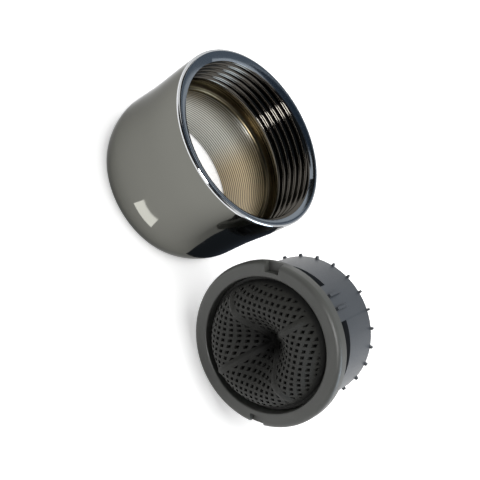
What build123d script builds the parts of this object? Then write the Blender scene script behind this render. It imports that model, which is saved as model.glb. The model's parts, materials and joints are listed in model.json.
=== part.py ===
from build123d import *
import os
from math import atan, ceil, cos, degrees, hypot, pi, radians, sin, sqrt

# Tap aerator, taken apart: a threaded sleeve stands on its outlet end and the
# insert lies beside it on its flange and two of its end ribs.
# Millimetres, +Z up, origin on the sleeve's axis at the outlet end.

# Sleeve
sleeve_length = 16.0
thread_minor_r = 10.46
thread_depth = 5.9
relief_depth = 1.3
relief_step = 0.59
sleeve_wall = 0.6
mouth_chamfer = 0.5
rim_chamfer = 0.25
rim_flare = 0.35
rim_height = 0.6
flare_height = 1.0
outlet_tuck = 1.15
outlet_curve = 4.0
outlet_break = 0.35
seat_width = 0.71
seat_chamfer = 0.45

# Clearances
flange_clearance = 0.06
rib_clearance = 0.22
drop_in_clearance = 0.1
bead_clearance = 0.06

# Insert housing, measured back from its inlet face
flange_thickness = 2.0
flange_land = 1.7
flange_step = 0.12
flange_edge = 0.35
recess_r = 8.46
recess_depth = 1.9
ledge_width = 0.61
ledge_thickness = 0.8
insert_length = 10.2
skirt_r = 9.15
skirt_wall = 0.65
skirt_chamfer = 0.3
slot_count = 4
slot_start = 2.8
slot_height = 1.4
web_angle = 31.0
web_roll = 10.5
end_rib_count = 24
end_rib_width = 0.5
end_rib_length = 1.2
web_rib_width = 0.45
web_rib_length = 2.8
web_rib_spread = 5.5
web_rib_lead = 0.3
notch_width = 1.6
notch_depth = 0.5
notch_reach = 1.2
notch_angle = 147.0

# Strainer: a ring-shaped dome round a funnel, with bare spokes between four panels of holes
strainer_roll = 8.2
strainer_wall = 0.55
strainer_rim_height = 0.5
strainer_rim_width = 0.4
crest_height = 2.75
crest_r = 5.5
funnel_depth = 2.1
funnel_bands = 5
shoulder_bands = 3
spoke_count = 4
spoke_width = 0.8
spoke_rise = 0.25
hole_side = 0.55
hole_pitch = 1.15
hole_rings = 5

# Jet cup, screens and outlet grid
cup_flange = 0.7
cup_wall = 0.7
cup_floor_depth = 5.2
cup_floor = 1.0
jet_count = 16
jet_side = 0.6
jet_ring_r = 5.4
leg_count = 6
leg_height = 0.8
leg_width = 1.2
screen_thickness = 0.25
screen_pitch = 3.0
screen_opening = 2.2
spacer_height = 0.6
spacer_width = 0.7
grid_height = 1.8
grid_rim = 0.7
cell_pitch = 2.3
cell_across = 1.85
bead_rise = 0.2
bead_height = 0.6
bead_place = 0.6

# Where the insert lies
insert_x = 23.75
insert_y = -8.3
insert_heading = -5.4

# Shared values
relief_r = thread_minor_r + relief_step
sleeve_r = relief_r + sleeve_wall
sleeve_rim_r = sleeve_r + rim_flare
outlet_bore_r = thread_minor_r - seat_width
seat_land_r = outlet_bore_r + seat_chamfer
flange_r = thread_minor_r - flange_clearance
end_rib_r = outlet_bore_r - rib_clearance
skirt_inner_r = skirt_r - skirt_wall
ledge_r = recess_r - ledge_width
rim_r = recess_r - drop_in_clearance
cup_r = ledge_r - drop_in_clearance
screen_r = skirt_inner_r - 2 * drop_in_clearance
grid_r = skirt_inner_r - drop_in_clearance
cup_top = -recess_depth + cup_flange
strainer_top = cup_top + strainer_rim_height
floor_top = -cup_floor_depth
floor_bottom = floor_top - cup_floor
leg_end = floor_bottom - leg_height
spacer_top = leg_end - screen_thickness
spacer_bottom = spacer_top - spacer_height
grid_top = spacer_bottom - screen_thickness
grid_bead_z = grid_top - grid_height * bead_place
seat_z = sleeve_length - thread_depth - relief_depth


def turned(points, angle=360.0):
    """Outline of (radius, height) points swept about Z through an angle, evenly to both sides of X."""
    outline = Polyline([(r, 0, z) for r, z in points], close=True)
    return Rot(0, 0, -angle / 2) * revolve(make_face(outline), Axis.Z, angle)


def ring(inner, outer, low, high, angle=360.0):
    """Ring of rectangular section, or a stretch of one."""
    return turned([(inner, low), (outer, low), (outer, high), (inner, high)], angle)


def around(count, shape, start=0.0):
    """Copies of a shape spaced evenly about Z."""
    return [Rot(0, 0, start + 360.0 * i / count) * shape for i in range(count)]


def bead(radius, z, rise, height):
    """V-shaped ring standing out from a cylinder of the given radius."""
    low = z - height / 2
    high = z + height / 2
    root = radius - rise
    return turned([(root, low), (radius, low), (radius + rise, z), (radius, high), (root, high)])


def make_sleeve():
    foot = (sleeve_r - outlet_tuck, 0, 0)
    shoulder = (sleeve_r, 0, outlet_curve)
    flare_top = sleeve_length - rim_height
    sides = [
        shoulder,
        (sleeve_r, 0, flare_top - flare_height),
        (sleeve_rim_r, 0, flare_top),
        (sleeve_rim_r, 0, sleeve_length - rim_chamfer),
        (sleeve_rim_r - rim_chamfer, 0, sleeve_length),
        (thread_minor_r + mouth_chamfer, 0, sleeve_length),
        (thread_minor_r, 0, sleeve_length - mouth_chamfer),
        (thread_minor_r, 0, seat_z + relief_depth),
        (relief_r, 0, seat_z + relief_depth - relief_step / 2),
        (relief_r, 0, seat_z),
        (seat_land_r, 0, seat_z),
        (outlet_bore_r, 0, seat_z - seat_chamfer),
        (outlet_bore_r, 0, outlet_break),
        (outlet_bore_r + outlet_break, 0, 0),
        foot,
    ]
    curve = TangentArc(shoulder, foot, tangent=(0, 0, -1))
    return revolve(make_face([*Polyline(sides).edges(), curve]), Axis.Z)


def make_housing():
    body = turned([
        (recess_r, 0),
        (flange_r - flange_edge, 0),
        (flange_r, -flange_edge),
        (flange_r, -flange_land),
        (flange_r - flange_step, -flange_land),
        (flange_r - flange_step, -flange_thickness),
        (skirt_r, -flange_thickness),
        (skirt_r, -insert_length + skirt_chamfer),
        (skirt_r - skirt_chamfer, -insert_length),
        (skirt_inner_r, -insert_length),
        (skirt_inner_r, -recess_depth - ledge_thickness),
        (ledge_r, -recess_depth - ledge_thickness),
        (ledge_r, -recess_depth),
        (recess_r, -recess_depth),
    ])
    slot = ring(
        skirt_inner_r - skirt_wall,
        skirt_r + skirt_wall,
        -slot_start - slot_height,
        -slot_start,
        360.0 / slot_count - web_angle,
    )
    cuts = around(slot_count, slot, web_roll + 180.0 / slot_count)
    notch = Pos(flange_r, 0, 0) * Box(2 * notch_reach, notch_width, 2 * notch_depth)
    cuts += around(2, notch, notch_angle)
    cuts.append(bead(skirt_inner_r, grid_bead_z, bead_rise, bead_height))
    root = skirt_r - skirt_wall / 2
    rib_depth = end_rib_r - root
    middle = root + rib_depth / 2
    end_rib = Box(rib_depth, end_rib_width, end_rib_length)
    end_z = -insert_length + end_rib_length / 2
    ribs = around(end_rib_count, Pos(middle, 0, end_z) * end_rib, 180.0 / end_rib_count)
    web_rib = Box(rib_depth, web_rib_width, web_rib_length)
    web_z = -slot_start + web_rib_lead - web_rib_length / 2
    for side in (-1, 1):
        ribs += around(slot_count, Pos(middle, 0, web_z) * web_rib, web_roll + side * web_rib_spread)
    return body - cuts + ribs


def dome_points(foot_r, foot_z, drop):
    """Outline from the axis to the foot: half a cosine wave out of the funnel, then a quarter of an ellipse."""
    crest_z = crest_height - drop
    wave = (crest_height + funnel_depth) / 2
    points = []
    for i in range(funnel_bands + 1):
        share = i / funnel_bands
        points.append((crest_r * share, crest_z - wave * (1 + cos(pi * share))))
    for i in range(1, shoulder_bands + 1):
        turn = pi / 2 * i / shoulder_bands
        r = crest_r + (foot_r - crest_r) * sin(turn)
        points.append((r, foot_z + (crest_z - foot_z) * cos(turn)))
    return points


def lattice(pitch, limit):
    """Square lattice points whose distance from the middle stays under a limit."""
    reach = ceil(limit / pitch)
    spots = []
    for i in range(-reach, reach + 1):
        for j in range(-reach, reach + 1):
            if hypot(i, j) * pitch < limit:
                spots.append((i * pitch, j * pitch))
    return spots


def make_strainer():
    foot_r = rim_r - strainer_rim_width
    outside = dome_points(foot_r, strainer_top, 0)
    inside = dome_points(foot_r - strainer_wall, cup_top, strainer_wall)
    body = turned(outside + [(rim_r, strainer_top), (rim_r, cup_top)] + inside[::-1])
    half = hole_side / 2
    tall = crest_height + funnel_depth
    panel = 360.0 / spoke_count
    holes = []
    for i in range(hole_rings):
        r = foot_r - strainer_wall + half - (i + 1) * hole_pitch
        step = degrees(hole_pitch / r)
        count = int((radians(panel) * r - spoke_width - hole_side) / hole_pitch) + 1
        hole = ring(r - half, r + half, -tall, tall, degrees(hole_side / r))
        for j in range(count):
            holes += around(spoke_count, hole, panel / 2 + (j - (count - 1) / 2) * step)
    ridge = outside[1:-1]
    top = [(r, z + spoke_rise) for r, z in ridge]
    root = [(r, z - strainer_wall / 2) for r, z in ridge]
    spoke = turned(top + root[::-1], degrees(spoke_width / crest_r))
    return Rot(0, 0, strainer_roll) * (body - holes + around(spoke_count, spoke))


def make_jet_cup():
    bore_r = cup_r - cup_wall
    body = turned([
        (0, floor_bottom),
        (cup_r, floor_bottom),
        (cup_r, -recess_depth),
        (rim_r, -recess_depth),
        (rim_r, cup_top),
        (bore_r, cup_top),
        (bore_r, floor_top),
        (0, floor_top),
    ])
    jet = Pos(jet_ring_r, 0, floor_top - cup_floor / 2) * Box(jet_side, jet_side, 2 * cup_floor)
    leg = Pos(cup_r - cup_wall, 0, (floor_bottom + leg_end) / 2) * Box(cup_wall, leg_width, leg_height)
    return body - around(jet_count, jet) + around(leg_count, leg)


def make_screen(top):
    body = Pos(0, 0, top - screen_thickness / 2) * Cylinder(screen_r, screen_thickness)
    opening = Box(screen_opening, screen_opening, 4 * screen_thickness)
    reach = screen_r - spacer_width - screen_opening
    return body - [Pos(x, y, top) * opening for x, y in lattice(screen_pitch, reach)]


def make_spacer():
    return ring(screen_r - spacer_width, screen_r, spacer_bottom, spacer_top)


def make_outlet_grid():
    body = Pos(0, 0, grid_top - grid_height / 2) * Cylinder(grid_r, grid_height)
    cell = extrude(RegularPolygon(cell_across / 2, 6, major_radius=False), 2 * grid_height, both=True)
    limit = grid_r - grid_rim - cell_across / sqrt(3)
    reach = ceil(limit / cell_pitch) + 1
    cells = []
    for i in range(-reach, reach + 1):
        for j in range(-reach, reach + 1):
            x = i * cell_pitch * sin(radians(60))
            y = (j + i / 2) * cell_pitch
            if hypot(x, y) < limit:
                cells.append(Pos(x, y, grid_top) * cell)
    snap_rise = bead_rise + drop_in_clearance - bead_clearance
    return body - cells + bead(grid_r, grid_bead_z, snap_rise, bead_height - 2 * bead_clearance)


# Half the pitch between two end ribs turns them evenly to each side of the lowest line
half_pitch = radians(180.0 / end_rib_count)
rib_drop = end_rib_r * cos(half_pitch) + end_rib_width / 2 * sin(half_pitch)
tilt = atan((flange_r - rib_drop) / (insert_length - flange_land))
insert_height = flange_land * sin(tilt) + flange_r * cos(tilt)
heading = radians(insert_heading)
lying = Plane(
    origin=(insert_x, insert_y, insert_height),
    x_dir=(cos(heading), sin(heading), 0),
    z_dir=(sin(heading) * cos(tilt), -cos(heading) * cos(tilt), sin(tilt)),
)

pieces = {
    "sleeve": make_sleeve(),
    "insert_housing": lying.location * make_housing(),
    "strainer": lying.location * make_strainer(),
    "jet_cup": lying.location * make_jet_cup(),
    "upper_screen": lying.location * make_screen(leg_end),
    "screen_spacer": lying.location * make_spacer(),
    "lower_screen": lying.location * make_screen(spacer_bottom),
    "outlet_grid": lying.location * make_outlet_grid(),
}

os.makedirs("parts", exist_ok=True)
for name, piece in pieces.items():
    export_step(piece, f"parts/{name}.step")
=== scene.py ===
"""Dresses the tap aerator: chromed sleeve with its thread, moulded insert, stage and camera."""

import json
import math

import bpy
import numpy as np
from mathutils import Matrix, Vector


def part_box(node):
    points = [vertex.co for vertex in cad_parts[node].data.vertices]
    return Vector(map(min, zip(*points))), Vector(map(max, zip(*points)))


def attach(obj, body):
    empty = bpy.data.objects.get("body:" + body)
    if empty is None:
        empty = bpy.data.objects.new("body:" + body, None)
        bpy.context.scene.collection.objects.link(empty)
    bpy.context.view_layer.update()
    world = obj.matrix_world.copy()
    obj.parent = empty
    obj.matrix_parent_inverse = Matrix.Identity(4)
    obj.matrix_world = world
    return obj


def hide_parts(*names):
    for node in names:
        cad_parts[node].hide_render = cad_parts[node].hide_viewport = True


bl_info = {
    "name": "Tap aerator",
    "version": (1, 0, 0),
    "blender": (4, 5, 0),
    "location": "3D View > Sidebar > Aerator",
    "description": "Builds the looks of a tap aerator that is taken apart",
    "category": "Object",
}

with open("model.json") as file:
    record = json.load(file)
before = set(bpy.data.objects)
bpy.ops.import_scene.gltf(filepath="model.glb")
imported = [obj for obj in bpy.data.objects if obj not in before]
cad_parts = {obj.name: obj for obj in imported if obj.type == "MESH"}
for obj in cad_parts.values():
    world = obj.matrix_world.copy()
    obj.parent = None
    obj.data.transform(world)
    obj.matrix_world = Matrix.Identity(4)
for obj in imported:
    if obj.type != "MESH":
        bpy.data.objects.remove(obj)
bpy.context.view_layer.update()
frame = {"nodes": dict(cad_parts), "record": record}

MM = 0.001


def linear(hex_colour):
    """Linear RGBA from an sRGB hex colour."""
    srgb = np.array([int(hex_colour[i:i + 2], 16) for i in (0, 2, 4)]) / 255
    rgb = np.where(srgb <= 0.04045, srgb / 12.92, ((srgb + 0.055) / 1.055) ** 2.4)
    return (*rgb.tolist(), 1.0)


WHITE = linear("ffffff")


def size(name, description, millimetres):
    """A length, given in millimetres."""
    return bpy.props.FloatProperty(
        name=name, description=description, default=millimetres * MM, unit="LENGTH", precision=5
    )


def angle(name, description, degrees):
    """An angle, given in degrees."""
    return bpy.props.FloatProperty(
        name=name, description=description, default=math.radians(degrees), unit="ROTATION"
    )


def place_of(name, description, x, y, z):
    """A place, given in millimetres."""
    return bpy.props.FloatVectorProperty(
        name=name,
        description=description,
        default=(x * MM, y * MM, z * MM),
        unit="LENGTH",
        precision=5,
    )


def colour(name, description, hex_colour):
    """A colour, given as an sRGB hex value."""
    return bpy.props.FloatVectorProperty(
        name=name, description=description, default=linear(hex_colour), size=4, subtype="COLOR"
    )


class AeratorSleeve(bpy.types.PropertyGroup):
    """Sizes and colours of the chromed sleeve."""

    thread_pitch: size("Thread pitch", "Rise of the spout thread in one turn", 1.0)
    thread_height: size("Thread height", "Depth of the thread behind its crest", 0.52)
    thread_length: size("Thread length", "Depth of the threaded bore below the rim", 5.9)
    thread_start: size("Thread start", "Depth over which the thread rises at the mouth", 0.6)
    thread_runout: size("Thread run-out", "Length over which the thread fades at the relief", 0.4)
    relief_length: size("Relief length", "Length of the groove below the thread", 1.3)
    relief_step: size("Relief step", "Depth of that groove behind the thread's crest", 0.59)
    seat_chamfer: size("Seat chamfer", "Chamfer between the seat and the outlet bore", 0.45)
    mouth_flare: size("Mouth flare", "Widening of the mouth above the thread's crest", 0.95)
    mouth_depth: size("Mouth depth", "Depth of that widening", 0.45)
    rim_round: size("Rim round", "Rounded outer edge of the rim", 0.38)
    rim_flare: size("Rim flare", "How far the rim stands out from the wall", 0.35)
    rim_height: size("Rim height", "Height of the rim's own band", 0.6)
    flare_height: size("Flare height", "Height over which the wall runs out to the rim", 8.0)
    outlet_tuck: size("Outlet tuck", "How far the wall is drawn in at the outlet", 1.15)
    outlet_curve: size("Outlet curve", "Height of the drawn-in end", 4.0)
    outlet_break: size("Outlet break", "Broken edge of the outlet bore", 0.35)
    chrome: colour("Chrome", "Chrome plate on the wall", "676762")
    # Painted highlight: the rounded edge has a much paler tint than the wall, which draws a bright line along
    # it
    edge: colour("Rim edge", "Chrome plate on the rim's rounded edge", "c4c6c8")
    # Painted reflection: the rim and its chamfer have a paler blue-grey tint than the wall, which stands for
    # blue light mirrored there
    rim: colour("Rim", "Chrome plate on the rim and its chamfer", "7f878f")
    # Painted shade: the thread has a darker tint than the wall, for the shade and dark surroundings it
    # mirrors
    thread: colour("Thread", "Chrome plate in the thread", "55524d")
    # Brass colour with painted shade: the seat and the relief groove are darker than the bore, for the shade
    # in that groove
    seat: colour("Seat", "Bare brass of the seat and the relief groove", "746a55")
    # The bore is pale on the side away from the insert and warm on the side towards it
    bore_pale: colour("Bore, pale", "Turned bore where the plate covers", "b6b6ae")
    bore_warm: colour("Bore, warm", "Turned bore where the brass shows through", "bbaa8c")


class AeratorInsert(bpy.types.PropertyGroup):
    """Sizes and colours of the moulded insert."""

    screen_depth: size("Screen depth", "Depth of the upper screen's middle below the inlet face", 7.125)
    flange_radius: size("Flange radius", "Outer radius of the flange", 10.34)
    flange_lift: size("Flange lift", "Height of the flange's face above the insert's datum", 0.75)
    flange_round: size("Flange round", "Rounded edge of the flange's face", 0.65)
    flange_land: size("Flange land", "Depth where the flange's full radius ends", 0.9)
    flange_bevel: size("Flange bevel", "Bevel behind the flange's full radius", 1.05)
    flange_back: size("Flange back", "Depth of the flange's back below its face", 2.0)
    recess_radius: size("Recess radius", "Radius of the recess that holds the strainer", 8.46)
    recess_depth: size("Recess depth", "Depth of that recess", 1.9)
    ledge_radius: size("Ledge radius", "Inner radius of the ledge in the recess", 7.85)
    ledge_back: size("Ledge back", "Depth of the ledge's back", 2.7)
    notch_width: size("Notch width", "Width of a notch in the flange", 2.1)
    notch_depth: size("Notch depth", "Depth of a notch", 1.0)
    notch_reach: size("Notch reach", "How far a notch reaches in from the edge", 1.2)
    notch_angle: angle("Notch angle", "Place of the first notch about the axis", 147.0)
    skirt_radius: size("Skirt radius", "Outer radius of the skirt", 9.15)
    skirt_wall: size("Skirt wall", "Wall of the skirt", 0.65)
    skirt_chamfer: size("Skirt chamfer", "Chamfer at the skirt's end", 0.3)
    skirt_overlap: size("Skirt overlap", "How far the skirt reaches into the flange", 0.2)
    length: size("Length", "Length of the insert from its face", 10.2)
    slot_start: size("Slot start", "Depth where the air slots start", 2.8)
    slot_end: size("Slot end", "Depth where the air slots end", 4.2)
    web_angle: angle("Web angle", "Width of the web between two slots", 31.0)
    web_roll: angle("Web roll", "Place of the first web about the axis", 10.5)
    rib_radius: size("Rib radius", "Radius of the ribs' tips", 9.45)
    rib_width: size("Rib width", "Width of a rib at its root", 0.4)
    rib_length: size("Rib length", "Length of an end rib", 0.6)
    rib_roll: angle("Rib roll", "Place of the first end rib about the axis", 9.8)
    web_rib_radius: size("Web rib radius", "Radius of the webs' ribs", 9.65)
    web_rib_width: size("Web rib width", "Width of a web's rib at its root", 0.55)
    web_rib_start: size("Web rib start", "Depth where the webs' ribs start", 2.5)
    web_rib_end: size("Web rib end", "Depth where the webs' ribs end", 5.3)
    web_rib_spread: angle("Web rib spread", "Angle of a web's ribs to each side of its middle", 5.5)
    strainer_radius: size("Strainer radius", "Outer radius of the strainer's rim", 8.36)
    strainer_foot: size("Strainer foot", "Radius where the dome meets the rim", 7.96)
    rim_depth: size("Rim depth", "Depth of the strainer's rim below the face", 0.7)
    rim_thickness: size("Rim thickness", "Thickness of the strainer's rim", 0.5)
    rim_overlap: size("Rim overlap", "How far the rim reaches under the dome", 0.15)
    crest_height: size("Crest height", "Height of the ring dome above the face", 2.75)
    crest_radius: size("Crest radius", "Radius of the ring dome's crest", 5.2)
    funnel_depth: size("Funnel depth", "Depth of the strainer's middle below the face", 1.8)
    strainer_wall: size("Strainer wall", "Wall of the strainer along the axis", 0.5)
    hole_pitch: size("Hole pitch", "Spacing of the strainer's holes", 0.72)
    hole_side: size("Hole side", "Side of a strainer hole", 0.38)
    hole_border: size("Hole border", "Bare border inside the rim", 0.3)
    spoke_width: size("Spoke width", "Width of a bare spoke on the strainer", 0.9)
    spoke_rise: size("Spoke rise", "Height of a spoke above the strainer", 0.3)
    spoke_fade: size("Spoke fade", "Length over which a spoke fades at the rim", 0.6)
    strainer_roll: angle("Strainer roll", "Turn of the spokes about the axis", 8.2)
    housing: colour("Housing", "Moulded flange", "474845")
    # Painted reflection: the skirt is the same acetal as the flange, given a darker blue-grey tint for the
    # blue light it mirrors
    skirt: colour("Skirt", "Moulded skirt", "393d42")
    strainer: colour("Strainer", "Moulded strainer", "1b1b17")
    inner: colour("Inner pieces", "Moulded pieces inside", "1b1c1d")
    steel: colour("Screens", "Woven steel", "8d8f91")


class AeratorStage(bpy.types.PropertyGroup):
    """Camera, floor and light."""

    elevation: angle("Elevation", "Camera height angle", 40.23)
    roll: angle("Roll", "Camera turn about its own axis", 64.27)
    distance: size("Distance", "Camera distance from the aimed point", 130.0)
    aim_height: size("Aim height", "Height of the aimed point on the sleeve's axis", 8.0)
    shift_right: size("Shift right", "Camera offset to its right", 3.95)
    shift_up: size("Shift up", "Camera offset upward", -10.23)
    lens: bpy.props.FloatProperty(
        name="Lens", description="Focal length on a 36 mm sensor", default=75.465, unit="CAMERA"
    )
    key_place: place_of("Key place", "Middle of the key light", 25, 35, 275)
    key_aim: place_of("Key aim", "Point that the key light faces", 10, 0, 5)
    key_size: size("Key size", "Diameter of the key light", 350.0)
    key_power: bpy.props.FloatProperty(
        name="Key power", description="Power of the key light", default=1.05, unit="POWER"
    )
    fill: bpy.props.FloatProperty(
        name="Fill", description="Strength of the world's light on what isn't mirrored", default=0.27
    )
    floor_glow: bpy.props.FloatProperty(
        name="Floor glow", description="Strength of the floor's own glow to the eye", default=0.48
    )
    card_aim: place_of("Card aim", "Point that the cards face", 0, 0, 15)
    floor: colour("Floor", "Pale paper floor", "f4f4f4")
    sky: colour("Sky card", "Dim blue-grey card that the rim mirrors", "8a929b")
    overhead: colour("Overhead card", "Dim blue card that the mouth and the skirt mirror", "3f4b58")
    daylight: colour("Daylight card", "Cool card that the thread mirrors", "cfe0f0")
    shade: colour("Dark card", "Dark card that the thread mirrors", "292926")
    # Painted shade: a dark card, seen only in reflections, that lies on the floor where the insert's shadow
    # falls, so that the wall mirrors a dark patch
    floor_shade: colour("Slate card", "Dark card on the floor that the wall mirrors", "434a54")


def node(tree, kind, settings=None, inputs=None):
    """Adds a node, sets its settings, and sets or links its inputs."""
    made = tree.nodes.new(kind)
    for key, value in (settings or {}).items():
        setattr(made, key, value)
    for key, value in (inputs or {}).items():
        if isinstance(value, bpy.types.NodeSocket):
            tree.links.new(value, made.inputs[key])
        else:
            made.inputs[key].default_value = value
    return made


def surface(name):
    """An empty node material with one principled shader, and the object's own coordinates."""
    made = bpy.data.materials.new(name)
    made.use_nodes = True
    tree = made.node_tree
    tree.nodes.clear()
    shader = node(tree, "ShaderNodeBsdfPrincipled")
    node(tree, "ShaderNodeOutputMaterial", inputs={"Surface": shader.outputs[0]})
    place = node(tree, "ShaderNodeTexCoord").outputs["Object"]
    return made, tree, shader, place


def chrome_plate(name, tint, rough=0.04):
    """Chrome plate over polished brass: a dark mirror with a faint polishing haze, 6 mm across.

    Its grazing tint is a half grey, so that the outlines don't flare to white.
    """
    made, tree, shader, place = surface(name)
    haze = node(tree, "ShaderNodeTexNoise", inputs={"Vector": place, "Scale": 1 / (6 * MM), "Detail": 3.0})
    spread = node(
        tree,
        "ShaderNodeMapRange",
        inputs={"Value": haze.outputs[0], "To Min": rough, "To Max": rough + 0.08},
    )
    shader.inputs["Base Color"].default_value = tint
    shader.inputs["Specular Tint"].default_value = (0.5, 0.5, 0.5, 1)
    shader.inputs["Metallic"].default_value = 1.0
    tree.links.new(spread.outputs[0], shader.inputs["Roughness"])
    return made


def turned_bore(name, pale, warm):
    """Lathe-turned bore: rings of tool marks, pale on the side away from the insert and warm on the side
    towards it.

    Real tool marks are finer. They are drawn 0.36 mm apart, so that they show. A wave texture's bands are pi
    / 10 over its scale apart.
    """
    ring_spacing = 0.36 * MM
    made, tree, shader, place = surface(name)
    rings = node(
        tree,
        "ShaderNodeTexWave",
        {"wave_type": "BANDS", "bands_direction": "Z", "wave_profile": "SIN"},
        {"Vector": place, "Scale": math.pi / 10 / ring_spacing, "Distortion": 0.9, "Detail": 2.0},
    )
    side = node(tree, "ShaderNodeSeparateXYZ", inputs={0: place})
    # Mix of the two tones: 0 on the side away from the insert, 1 on the side towards it
    toward_insert = node(
        tree,
        "ShaderNodeMapRange",
        {"interpolation_type": "SMOOTHSTEP"},
        {"Value": side.outputs["X"], "From Min": -3 * MM, "From Max": 2 * MM},
    )
    plate = node(
        tree, "ShaderNodeMixRGB", inputs={"Fac": toward_insert.outputs[0], "Color1": pale, "Color2": warm}
    )
    depth = node(
        tree, "ShaderNodeMapRange", inputs={"Value": toward_insert.outputs[0], "To Min": 0.72, "To Max": 0.82}
    )
    tone = node(
        tree,
        "ShaderNodeMixRGB",
        {"blend_type": "MULTIPLY"},
        {"Fac": depth.outputs[0], "Color1": plate.outputs[0], "Color2": rings.outputs["Color"]},
    )
    bump = node(
        tree,
        "ShaderNodeBump",
        inputs={"Strength": 0.4, "Distance": 0.04 * MM, "Height": rings.outputs["Fac"]},
    )
    tree.links.new(tone.outputs[0], shader.inputs["Base Color"])
    tree.links.new(bump.outputs[0], shader.inputs["Normal"])
    shader.inputs["Metallic"].default_value = 1.0
    shader.inputs["Roughness"].default_value = 0.3
    return made


def moulded_acetal(name, tint, rough, shade_middle=None):
    """Injection-moulded acetal: satin, with a spark-eroded grain of 0.25 mm and a faint clouding of 5 mm.

    The real grain is finer and is drawn coarse enough to show. Within 3.2 mm of a given point the colour is
    darkened and the gloss dulled: painted shade, which makes a funnel look deep.
    """
    made, tree, shader, place = surface(name)
    grain = node(
        tree, "ShaderNodeTexNoise", inputs={"Vector": place, "Scale": 1 / (0.25 * MM), "Detail": 2.0}
    )
    cloud = node(tree, "ShaderNodeTexNoise", inputs={"Vector": place, "Scale": 1 / (5 * MM), "Detail": 2.0})
    shade = node(
        tree, "ShaderNodeMapRange", inputs={"Value": cloud.outputs[0], "To Min": 0.88, "To Max": 1.12}
    )
    scaled = {"operation": "SCALE"}
    tone = node(tree, "ShaderNodeVectorMath", scaled, {0: tint[:3], "Scale": shade.outputs[0]})
    if shade_middle is not None:
        # Painted shade: colour and gloss fall off towards the funnel's middle
        reach = node(tree, "ShaderNodeVectorMath", {"operation": "DISTANCE"}, {0: place, 1: shade_middle})
        depth = node(
            tree,
            "ShaderNodeMapRange",
            {"interpolation_type": "SMOOTHSTEP"},
            {"Value": reach.outputs["Value"], "From Min": 0.8 * MM, "From Max": 3.2 * MM, "To Min": 0.15},
        ).outputs[0]
        tone = node(tree, "ShaderNodeVectorMath", scaled, {0: tone.outputs[0], "Scale": depth})
        sheen = node(tree, "ShaderNodeMath", {"operation": "MULTIPLY"}, {0: depth, 1: 0.5})
        tree.links.new(sheen.outputs[0], shader.inputs["Specular IOR Level"])
    spread = node(
        tree,
        "ShaderNodeMapRange",
        inputs={"Value": grain.outputs[0], "To Min": rough - 0.06, "To Max": rough + 0.06},
    )
    bump = node(
        tree,
        "ShaderNodeBump",
        inputs={"Strength": 0.12, "Distance": 0.02 * MM, "Height": grain.outputs[0]},
    )
    tree.links.new(tone.outputs[0], shader.inputs["Base Color"])
    tree.links.new(spread.outputs[0], shader.inputs["Roughness"])
    tree.links.new(bump.outputs[0], shader.inputs["Normal"])
    shader.inputs["IOR"].default_value = 1.48
    return made


def drawn_steel(tint):
    """Stainless wire: bright, with the faint streaks of drawing every 0.4 mm."""
    made, tree, shader, place = surface("stainless_wire_drawn")
    grain = node(tree, "ShaderNodeTexNoise", inputs={"Vector": place, "Scale": 1 / (0.4 * MM)})
    rough = node(
        tree, "ShaderNodeMapRange", inputs={"Value": grain.outputs[0], "To Min": 0.25, "To Max": 0.4}
    )
    tree.links.new(rough.outputs[0], shader.inputs["Roughness"])
    shader.inputs["Metallic"].default_value = 1.0
    shader.inputs["Base Color"].default_value = tint
    return made


def insert_place(screen_depth):
    """Matrix from the insert's own frame to the model's.

    The insert's inlet face is at z = 0 and looks along +Z, its axis runs through the middles of the two
    screens, and its X is level.
    """
    upper = sum(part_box("upper_screen"), Vector()) / 2
    lower = sum(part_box("lower_screen"), Vector()) / 2
    axis = (upper - lower).normalized()
    level = Vector((0, 0, 1)).cross(axis).normalized()
    place = Matrix((level, axis.cross(level), axis)).transposed().to_4x4()
    place.translation = upper + axis * screen_depth
    return place


def arc(centre, radius, start, end, count):
    """Points of a circular arc, angles in degrees."""
    turn = np.radians(np.linspace(start, end, count))
    return np.stack([centre[0] + radius * np.cos(turn), centre[1] + radius * np.sin(turn)], -1)


def smooth(share):
    """Three squares of the share less two cubes: rises from 0 to 1 with level ends."""
    share = np.clip(share, 0, 1)
    return share * share * (3 - 2 * share)


def round_grid(r, turns, z):
    """Grid of points from radius, turn and height arrays that broadcast."""
    r, turns, z = np.broadcast_arrays(r, turns, z)
    return np.stack([r * np.cos(turns), r * np.sin(turns), z], -1)


def closed_surface(grid):
    """Quads of a grid that closes on itself both ways.

    Rows run round the axis, and columns run along a closed outline.
    """
    rows, columns = grid.shape[:2]
    ids = np.arange(rows * columns).reshape(rows, columns)
    beside = np.roll(ids, -1, 0)
    quads = np.stack([ids, beside, np.roll(beside, -1, 1), np.roll(ids, -1, 1)], -1)
    return grid.reshape(-1, 3), quads.reshape(-1, 4)


def walled_grid(top, bottom, keep, ring=False):
    """A sheet with thickness: the kept cells of two matching grids, with walls wherever a kept cell ends.

    A ring's last row of cells joins its first row of points.
    """
    rows, columns = top.shape[:2]
    count = rows * columns
    ids = np.arange(count).reshape(rows, columns)
    framed = np.pad(keep, 1)
    if ring:
        ids = np.concatenate([ids, ids[:1]])
        framed[0], framed[-1] = framed[-2], framed[1]
    a, b, c, d = ids[:-1, :-1], ids[1:, :-1], ids[1:, 1:], ids[:-1, 1:]
    faces = [np.stack([a, b, c, d], -1)[keep], np.stack([a, d, c, b], -1)[keep] + count]
    sides = [
        (framed[:-2, 1:-1], d, a),
        (framed[2:, 1:-1], b, c),
        (framed[1:-1, :-2], a, b),
        (framed[1:-1, 2:], c, d),
    ]
    for beyond, start, end in sides:
        edge = keep & ~beyond
        faces.append(np.stack([end[edge], start[edge], start[edge] + count, end[edge] + count], -1))
    return np.concatenate([top.reshape(-1, 3), bottom.reshape(-1, 3)]), np.concatenate(faces)


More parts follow.
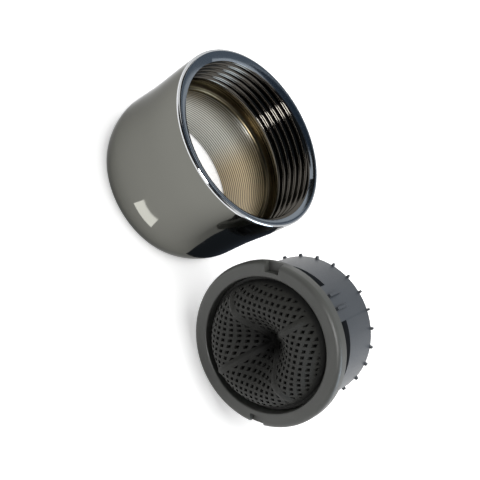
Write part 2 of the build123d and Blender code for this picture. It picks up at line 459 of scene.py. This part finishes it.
def ribs(turns, width, root, tip, low, high):
    """Ribs along the axis, each a block between two radii.

    Its tip is narrower than its root by a share of the width. Its lower end slopes in by a share of the rib's
    height, and its upper end by twice that.
    """
    narrowing = 0.35
    slope = 0.12
    turns = np.asarray(turns)[:, None]
    corner = np.array([(i, j, k) for i in (0, 1) for j in (-1, 1) for k in (0, 1)])
    out, side, end = corner.T
    slim = 1 - narrowing * out
    r = root + (tip - root) * out
    across = side * width / 2 * slim
    ease = slope * (tip - root) * out
    z = np.where(end == 1, high - 2 * ease, low + ease)
    x = r * np.cos(turns) - across * np.sin(turns)
    y = r * np.sin(turns) + across * np.cos(turns)
    points = np.stack([x, y, np.broadcast_to(z, x.shape)], -1)
    faces = np.array([(0, 1, 3, 2), (4, 6, 7, 5), (0, 4, 5, 1), (2, 3, 7, 6), (0, 2, 6, 4), (1, 5, 7, 3)])
    quads = faces[None] + 8 * np.arange(len(turns))[:, None, None]
    return points.reshape(-1, 3), quads.reshape(-1, 4)


def joined(*surfaces):
    """Several arrays of points and quads as one."""
    starts = np.cumsum([0] + [len(points) for points, _ in surfaces])
    points = np.concatenate([points for points, _ in surfaces])
    return points, np.concatenate([quads + start for (_, quads), start in zip(surfaces, starts)])


def new_piece(name, node_name, points, quads, materials, indices=None, sharp=35.0):
    """A mesh object in place of a CAD node, smooth apart from edges sharper than the given degrees."""
    used, back = np.unique(quads, return_inverse=True)
    mesh = bpy.data.meshes.new(name)
    mesh.from_pydata(points[used].tolist(), [], back.reshape(quads.shape).tolist())
    for made in materials:
        mesh.materials.append(made)
    if indices is not None:
        mesh.polygons.foreach_set("material_index", indices.astype(np.int32))
    mesh.shade_smooth()
    mesh.set_sharp_from_angle(angle=math.radians(sharp))
    piece = bpy.data.objects.new(name, mesh)
    bpy.context.scene.collection.objects.link(piece)
    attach(piece, "root")
    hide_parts(node_name)
    return piece


class AERATOR_OT_sleeve(bpy.types.Operator):
    """Make the chromed sleeve with its cut thread"""

    bl_idname = "aerator.sleeve"
    bl_label = "Sleeve"

    def execute(self, context):
        s = context.scene.aerator_sleeve
        radii = {m["name"]: m["dims"].get("r_mm", 0) * MM for m in frame["record"]["mounts"]}
        crest, bore = radii["spout_thread"], radii["outlet_bore"]
        rim, top = -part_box("sleeve")[0].x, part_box("sleeve")[1].z
        wall = rim - s.rim_flare
        mouth_z = top - s.mouth_depth
        relief_z = top - s.thread_length
        seat_z = relief_z - s.relief_length
        relief = crest + s.relief_step
        # Mesh steps along the drawn-in end, the flare and the rim's round, in one pitch and round the axis
        curve_steps, flare_steps, round_steps, pitch_steps, ring_steps = 24, 12, 8, 28, 400

        # Wall: a circular arc at the outlet, then upright, then out to the rim by a power of a sine
        flare_power = 1.5
        sweep = (s.outlet_curve ** 2 + s.outlet_tuck ** 2) / (2 * s.outlet_tuck)
        low = np.linspace(0, s.outlet_curve, curve_steps)
        drawn = wall - sweep + np.sqrt(sweep ** 2 - (s.outlet_curve - low) ** 2)
        flare = np.linspace(top - s.rim_height - s.flare_height, top - s.rim_height, flare_steps)
        flared = wall + s.rim_flare * np.sin(np.linspace(0, math.pi / 2, flare_steps)) ** flare_power
        outside = np.concatenate([
            [[bore + s.outlet_break, 0]],
            np.stack([drawn, low], -1),
            np.stack([flared, flare], -1),
        ])
        rim_band = np.concatenate([
            arc((rim - s.rim_round, top - s.rim_round), s.rim_round, 0, 90, round_steps),
            [[crest + s.mouth_flare, top]],
        ])
        thread_steps = int((mouth_z - relief_z) / s.thread_pitch * pitch_steps)
        thread_z = np.linspace(mouth_z, relief_z, thread_steps)
        thread = np.stack([np.full_like(thread_z, crest), thread_z], -1)
        inside = np.array([
            [relief, relief_z - s.relief_step / 2],
            [relief, seat_z],
            [bore + s.seat_chamfer, seat_z],
            [bore, seat_z - s.seat_chamfer],
            [bore, s.outlet_break],
        ])
        outline = np.concatenate([outside, rim_band, thread, inside])
        turns = np.linspace(0, 2 * math.pi, ring_steps, endpoint=False)[:, None]
        radius = np.tile(outline[:, 0], (len(turns), 1))
        # Thread: the radius grows by a cosine wave of height over pitch less the turn, faded at both ends
        first = len(outside) + len(rim_band)
        last = first + len(thread_z)
        wave = (1 - np.cos(2 * math.pi * thread_z / s.thread_pitch - turns)) / 2
        fade = smooth((thread_z - relief_z) / s.thread_runout) * smooth((top - thread_z) / s.thread_start)
        radius[:, first:last] += s.thread_height * wave * fade
        points, quads = closed_surface(round_grid(radius, turns, outline[:, 1]))
        # Finishes along the outline, in the order of the materials below
        finish = np.zeros(len(outline))
        finish[len(outside):] = 1
        finish[first - 2:] = 2
        finish[first:] = 3
        finish[last - 1:] = 4
        finish[-2:] = 5
        materials = [
            chrome_plate("chrome_plate_polished", s.chrome),
            # Painted highlight: paler plate on the rounded edge
            chrome_plate("chrome_plate_edge_painted_highlight", s.edge),
            # Painted reflection: blue-grey plate on the rim and chamfer
            chrome_plate("chrome_plate_rim_painted_reflection", s.rim, 0.14),
            # Painted shade: darker plate in the thread
            chrome_plate("chrome_plate_thread_painted_shade", s.thread, 0.06),
            # Brass with painted shade on the seat and in the relief groove
            turned_bore("turned_brass_seat_painted_shade", s.seat, s.seat),
            turned_bore("turned_brass_bore_two_tone", s.bore_pale, s.bore_warm),
        ]
        indices = np.tile(finish, len(turns))
        new_piece("sleeve_turned", "sleeve", points, quads, materials, indices, sharp=50.0)
        return {"FINISHED"}


class AERATOR_OT_housing(bpy.types.Operator):
    """Make the housing: notched flange, slotted skirt and ribs"""

    bl_idname = "aerator.housing"
    bl_label = "Insert housing"

    def execute(self, context):
        s = context.scene.aerator_insert
        edge, back = s.flange_radius, s.flange_back
        notch_r = edge - s.notch_reach
        inner = s.skirt_radius - s.skirt_wall
        middle = (inner + s.skirt_radius) / 2
        # Mesh steps of the flange's two rounds and round the axis
        edge_steps, recess_steps, ring_steps = 10, 6, 288
        # Steps in radius and in angle that keep the walls of a notch upright
        hair = 0.01 * MM
        jamb = 1e-4
        face = s.flange_lift
        inner_round = s.flange_round / 3
        notch_z = face - s.notch_depth
        # Flange: an outline carried round the axis, set down to the notch's floor inside a notch
        outline = np.concatenate([
            [[s.ledge_radius, -s.ledge_back], [middle, -s.ledge_back], [middle, -back]],
            [[edge - s.flange_bevel, -back], [edge, -s.flange_land]],
            arc((edge - s.flange_round, face - s.flange_round), s.flange_round, 0, 90, edge_steps),
            [[notch_r, face], [notch_r - hair, face]],
            arc((s.recess_radius + inner_round, face - inner_round), inner_round, 90, 180, recess_steps),
            [[s.recess_radius, -s.recess_depth], [s.ledge_radius, -s.recess_depth]],
        ])
        half = math.asin(s.notch_width / 2 / edge)
        notches = s.notch_angle + np.array([0, math.pi])
        jambs = notches[:, None] + np.array([-half - jamb, -half, half, half + jamb])
        even = np.linspace(0, 2 * math.pi, ring_steps, endpoint=False)
        turns = np.sort(np.concatenate([even, jambs.ravel() % (2 * math.pi)]))
        away = np.abs((turns[:, None] - notches + math.pi) % (2 * math.pi) - math.pi).min(1)
        in_notch = (away < half + jamb / 2)[:, None]
        cut = in_notch & (outline[:, 0] > notch_r - hair / 2) & (outline[:, 1] > notch_z)
        z = np.where(cut, notch_z, outline[:, 1])
        flange = closed_surface(round_grid(outline[:, 0], turns[:, None], z))

        # Skirt: a tube with a wall, whose row of cells between two webs is left open as an air slot
        web_count, slot_row = 4, 2
        webs = s.web_roll + np.arange(web_count) * 2 * math.pi / web_count
        slot_edges = (webs[:, None] + np.array([-1, 1]) * s.web_angle / 2).ravel() % (2 * math.pi)
        turns = np.sort(np.concatenate([even, slot_edges]))
        skirt_top = back - s.skirt_overlap
        z = -np.array([s.length, s.length - s.skirt_chamfer, s.slot_end, s.slot_start, skirt_top])
        outer = np.where(z == z[0], s.skirt_radius - s.skirt_chamfer, s.skirt_radius)
        centre = (turns + np.diff(turns, append=turns[0] + 2 * math.pi) / 2)[:, None]
        on_web = np.abs((centre - webs + math.pi) % (2 * math.pi) - math.pi).min(1) < s.web_angle / 2
        keep = on_web[:, None] | (np.arange(len(z) - 1) != slot_row)
        skirt = walled_grid(
            round_grid(outer, turns[:, None], z), round_grid(inner, turns[:, None], z), keep, ring=True
        )

        root = s.skirt_radius - s.skirt_wall / 2
        rib_count = 24
        end_ribs = ribs(
            s.rib_roll + np.arange(rib_count) * 2 * math.pi / rib_count,
            s.rib_width,
            root,
            s.rib_radius,
            -s.length,
            -s.length + s.rib_length,
        )
        spread = (webs[:, None] + np.array([-1, 1]) * s.web_rib_spread).ravel()
        web_ribs = ribs(spread, s.web_rib_width, root, s.web_rib_radius, -s.web_rib_end, -s.web_rib_start)
        points, quads = joined(flange, skirt, end_ribs, web_ribs)
        place = insert_place(s.screen_depth)
        points = points @ np.array(place.to_3x3()).T + np.array(place.translation)
        finishes = [
            moulded_acetal("flange_acetal_satin", s.housing, 0.42),
            # Painted reflection: blue-grey tint on the skirt
            moulded_acetal("skirt_acetal_painted_blue_reflection", s.skirt, 0.42),
        ]
        on_skirt = np.arange(len(quads)) >= len(flange[1])
        new_piece("housing_moulded", "insert_housing", points, quads, finishes, on_skirt)
        return {"FINISHED"}


class AERATOR_OT_strainer(bpy.types.Operator):
    """Make the strainer: ring dome, funnel, lattice of square holes and four bare spokes"""

    bl_idname = "aerator.strainer"
    bl_label = "Strainer"

    def execute(self, context):
        s = context.scene.aerator_insert
        foot = s.strainer_foot
        cells = int(foot / s.hole_pitch) + 2
        gap = (s.hole_pitch - s.hole_side) / 2
        hole = s.hole_side
        # Lines of one cell: its start, the middle of its first bar, several across the hole, and the middle
        # of its last bar
        first_line, hole_lines = 2, 5
        across = gap + hole * np.linspace(0, 1, hole_lines)
        marks = np.concatenate([[0, gap / 2], across, [gap * 1.5 + hole]])
        lines = (np.arange(-cells, cells)[:, None] * s.hole_pitch + marks).ravel()
        u, w = np.meshgrid(lines, lines, indexing="ij")
        # Points beyond the foot are pulled in to it
        full = np.hypot(u, w)
        pull = np.minimum(1, foot / np.maximum(full, hole / 10))
        u_in, w_in, r = u * pull, w * pull, np.minimum(full, foot)

        # Height: half a cosine wave from the funnel to the crest, then a quarter of a superellipse to the rim
        dome_power, dome_root = 1.9, 0.65
        rise = s.crest_height + s.funnel_depth
        inner = s.crest_height - rise * (1 + np.cos(np.pi * np.clip(r / s.crest_radius, 0, 1))) / 2
        out = np.clip((r - s.crest_radius) / (foot - s.crest_radius), 0, 1)
        outer = -s.rim_depth + (s.crest_height + s.rim_depth) * (1 - out ** dome_power) ** dome_root
        z = np.where(r < s.crest_radius, inner, outer)
        # Spokes: a cosine ridge along each diagonal of the lattice, a little wider than its bare strip
        ridge_half = s.spoke_width * 0.65
        beside = np.minimum(np.abs(u_in + w_in), np.abs(u_in - w_in)) / math.sqrt(2)
        ridge = (1 + np.cos(np.pi * np.clip(beside / ridge_half, 0, 1))) / 2
        z = z + s.spoke_rise * ridge * smooth((foot - r) / s.spoke_fade)
        spin = s.strainer_roll + math.pi / 4
        x = u_in * math.cos(spin) - w_in * math.sin(spin)
        y = u_in * math.sin(spin) + w_in * math.cos(spin)
        top = np.stack([x, y, z], -1)

        spot = np.arange(len(lines) - 1) % len(marks)
        in_hole = (spot >= first_line) & (spot < first_line + hole_lines - 1)
        mid = (lines[:-1] + lines[1:]) / 2
        mid_u, mid_w = np.meshgrid(mid, mid, indexing="ij")
        to_spoke = np.minimum(np.abs(mid_u + mid_w), np.abs(mid_u - mid_w)) / math.sqrt(2)
        corners = np.stack([full[:-1, :-1], full[1:, :-1], full[1:, 1:], full[:-1, 1:]])
        nearest, furthest = corners.min(0), corners.max(0)
        bare = (to_spoke <= s.spoke_width / 2) | (furthest >= foot - s.hole_border)
        holes = in_hole[:, None] & in_hole & ~bare
        panel = walled_grid(top, top - [0, 0, s.strainer_wall], (nearest < foot) & ~holes)

        rim_low = -s.rim_depth - s.rim_thickness
        lip = foot - s.rim_overlap
        outline = np.array([
            [lip, rim_low],
            [s.strainer_radius, rim_low],
            [s.strainer_radius, -s.rim_depth],
            [lip, -s.rim_depth],
        ])
        turns = np.linspace(0, 2 * math.pi, 192, endpoint=False)[:, None]
        points, quads = joined(panel, closed_surface(round_grid(outline[:, 0], turns, outline[:, 1])))
        place = insert_place(s.screen_depth)
        points = points @ np.array(place.to_3x3()).T + np.array(place.translation)
        # Middle of the painted shade: the bottom of the funnel
        shade_middle = place @ Vector((0, 0, -s.funnel_depth))
        finish = moulded_acetal("strainer_acetal_funnel_shade", s.strainer, 0.75, shade_middle)
        new_piece("strainer_moulded", "strainer", points, quads, [finish])
        return {"FINISHED"}


class AERATOR_OT_inner(bpy.types.Operator):
    """Finish the pieces inside the insert"""

    bl_idname = "aerator.inner"
    bl_label = "Inner pieces"

    def execute(self, context):
        s = context.scene.aerator_insert
        plastic = moulded_acetal("inner_acetal_moulded", s.inner, 0.45)
        steel = drawn_steel(s.steel)
        finishes = {
            "jet_cup": plastic,
            "screen_spacer": plastic,
            "outlet_grid": plastic,
            "upper_screen": steel,
            "lower_screen": steel,
        }
        for name, finish in finishes.items():
            slots = frame["nodes"][name].data.materials
            slots.clear()
            slots.append(finish)
        return {"FINISHED"}


def plain_light(name, tint, strength):
    """A material that only glows."""
    made = bpy.data.materials.new(name)
    made.use_nodes = True
    tree = made.node_tree
    tree.nodes.clear()
    glow = node(tree, "ShaderNodeEmission", inputs={"Color": tint, "Strength": strength})
    node(tree, "ShaderNodeOutputMaterial", inputs={"Surface": glow.outputs[0]})
    return made


def seen_rays(tree):
    """1 for rays that show a thing itself: camera, glossy and transmission rays."""
    path = node(tree, "ShaderNodeLightPath").outputs
    larger = {"operation": "MAXIMUM"}
    mirror = node(tree, "ShaderNodeMath", larger, {0: path["Is Camera Ray"], 1: path["Is Glossy Ray"]})
    seen = node(tree, "ShaderNodeMath", larger, {0: mirror.outputs[0], 1: path["Is Transmission Ray"]})
    return seen.outputs[0]


def new_card(name, centre, toward, width, height, finish, roll=0.0):
    """A flat card that faces a point, rolled about that direction by an angle in degrees."""
    face = (Vector(toward) - Vector(centre)).to_track_quat("Z", "Y").to_matrix()
    face = face @ Matrix.Rotation(math.radians(roll), 3, "Z")
    sides = ((-1, -1), (1, -1), (1, 1), (-1, 1))
    corners = [Vector(centre) + face @ Vector((i * width / 2, j * height / 2, 0)) for i, j in sides]
    mesh = bpy.data.meshes.new(name)
    mesh.from_pydata([tuple(c) for c in corners], [], [(0, 1, 2, 3)])
    mesh.materials.append(finish)
    card = bpy.data.objects.new(name, mesh)
    bpy.context.scene.collection.objects.link(card)
    return card


class AERATOR_OT_stage(bpy.types.Operator):
    """Set the floor, light, world and camera"""

    bl_idname = "aerator.stage"
    bl_label = "Stage"

    def execute(self, context):
        s = context.scene.aerator_stage
        paper, tree, shader, place = surface("floor_paper")
        grain = node(tree, "ShaderNodeTexNoise", inputs={"Vector": place, "Scale": 1 / (2 * MM)})
        rough = node(
            tree, "ShaderNodeMapRange", inputs={"Value": grain.outputs[0], "To Min": 0.9, "To Max": 1.0}
        )
        tree.links.new(rough.outputs[0], shader.inputs["Roughness"])
        share = {0: seen_rays(tree), 1: s.floor_glow}
        glow = node(tree, "ShaderNodeMath", {"operation": "MULTIPLY"}, share)
        shader.inputs["Base Color"].default_value = s.floor
        shader.inputs["Specular IOR Level"].default_value = 0.0
        shader.inputs["Emission Color"].default_value = WHITE
        tree.links.new(glow.outputs[0], shader.inputs["Emission Strength"])
        upward = Vector((0, 0, 1))
        new_card("floor", (0, 0, 0), upward, width=2.0, height=2.0, finish=paper)

        # Cards that only reflections show
        aim = s.card_aim
        # The dark floor card is painted shade: it lies where the insert's shadow falls, for the wall to
        # mirror
        floor_shade_place = Vector((0.021, 0.0045, 0.0003))
        window_place = Vector((0.0046, -0.0149, 0.0002))
        dim = plain_light("card_dim", s.sky, 1.0)
        blue = plain_light("card_blue", s.overhead, 1.0)
        dark = plain_light("card_dark", s.shade, 1.0)
        floor_shade = plain_light("card_floor_shade", s.floor_shade, 1.0)
        pale = plain_light("card_pale", WHITE, 4.5)
        bright = plain_light("card_bright", WHITE, 16.0)
        cool = plain_light("card_cool", s.daylight, 8.0)
        cards = [
            new_card("sky_card", (0.03, 0.22, 0.2), aim, width=0.3, height=0.2, finish=dim),
            new_card("overhead_card", (0, -0.02, 0.45), aim, width=0.5, height=0.5, finish=blue),
            new_card("back_card", (0, -0.25, 0.2), aim, width=1.0, height=0.4, finish=dark),
            new_card("corner_card", (-0.12, 0.09, 0.21), aim, width=0.16, height=0.15, finish=dark),
            new_card("strip_card", (0.051, -0.156, 0.128), aim, width=0.05, height=0.12, finish=bright),
            new_card("side_card", (0.175, 0.047, 0.095), aim, width=0.08, height=0.12, finish=cool),
            new_card(
                "floor_shade_card", floor_shade_place, floor_shade_place + upward, width=0.018, height=0.02, finish=floor_shade
            ),
            new_card(
                "window_card",
                window_place,
                window_place + upward,
                width=0.006,
                height=0.0022,
                finish=pale,
                roll=19,
            ),
        ]
        for card in cards:
            card.visible_camera = False
            card.visible_diffuse = False
            card.visible_shadow = False

        world = bpy.data.worlds.new("studio")
        world.use_nodes = True
        tree = world.node_tree
        tree.nodes.clear()
        level = node(
            tree, "ShaderNodeMapRange", inputs={"Value": seen_rays(tree), "To Min": s.fill, "To Max": 1.0}
        )
        glow = node(tree, "ShaderNodeBackground", inputs={"Color": WHITE, "Strength": level.outputs[0]})
        node(tree, "ShaderNodeOutputWorld", inputs={"Surface": glow.outputs[0]})
        context.scene.world = world

        lamp = bpy.data.lights.new("key", "AREA")
        lamp.shape = "DISK"
        lamp.size = s.key_size
        lamp.energy = s.key_power
        key = bpy.data.objects.new("key", lamp)
        key.location = s.key_place
        key.visible_glossy = False
        key.rotation_euler = (Vector(s.key_aim) - key.location).to_track_quat("-Z", "Y").to_euler()
        context.scene.collection.objects.link(key)

        back = Vector((0, -math.cos(s.elevation), math.sin(s.elevation)))
        level = Vector((1, 0, 0))
        rise = back.cross(level)
        right = level * math.cos(s.roll) + rise * math.sin(s.roll)
        up = rise * math.cos(s.roll) - level * math.sin(s.roll)
        view = Matrix((right, up, back)).transposed().to_4x4()
        aimed = Vector((0, 0, s.aim_height))
        view.translation = aimed + back * s.distance + right * s.shift_right + up * s.shift_up
        data = bpy.data.cameras.new("camera")
        data.lens = s.lens
        data.sensor_width = 36.0
        data.clip_start = 5 * MM
        camera = bpy.data.objects.new("camera", data)
        camera.matrix_world = view
        context.scene.collection.objects.link(camera)
        context.scene.camera = camera
        context.scene.view_settings.view_transform = "Standard"
        return {"FINISHED"}


class AERATOR_PT_panel(bpy.types.Panel):
    """Lists the operators that build the aerator's pieces"""

    bl_idname = "AERATOR_PT_panel"
    bl_label = "Tap aerator"
    bl_space_type = "VIEW_3D"
    bl_region_type = "UI"
    bl_category = "Aerator"

    def draw(self, context):
        for made in OPERATORS:
            self.layout.operator(made.bl_idname)


OPERATORS = (AERATOR_OT_sleeve, AERATOR_OT_housing, AERATOR_OT_strainer, AERATOR_OT_inner, AERATOR_OT_stage)
GROUPS = (AeratorSleeve, AeratorInsert, AeratorStage)
CLASSES = (*GROUPS, *OPERATORS, AERATOR_PT_panel)


def register():
    for made in CLASSES:
        bpy.utils.register_class(made)
    bpy.types.Scene.aerator_sleeve = bpy.props.PointerProperty(type=AeratorSleeve)
    bpy.types.Scene.aerator_insert = bpy.props.PointerProperty(type=AeratorInsert)
    bpy.types.Scene.aerator_stage = bpy.props.PointerProperty(type=AeratorStage)


def unregister():
    del bpy.types.Scene.aerator_sleeve
    del bpy.types.Scene.aerator_insert
    del bpy.types.Scene.aerator_stage
    for made in reversed(CLASSES):
        bpy.utils.unregister_class(made)


def main():
    register()
    bpy.ops.aerator.sleeve()
    bpy.ops.aerator.housing()
    bpy.ops.aerator.strainer()
    bpy.ops.aerator.inner()
    bpy.ops.aerator.stage()


if __name__ == "__main__":
    main()
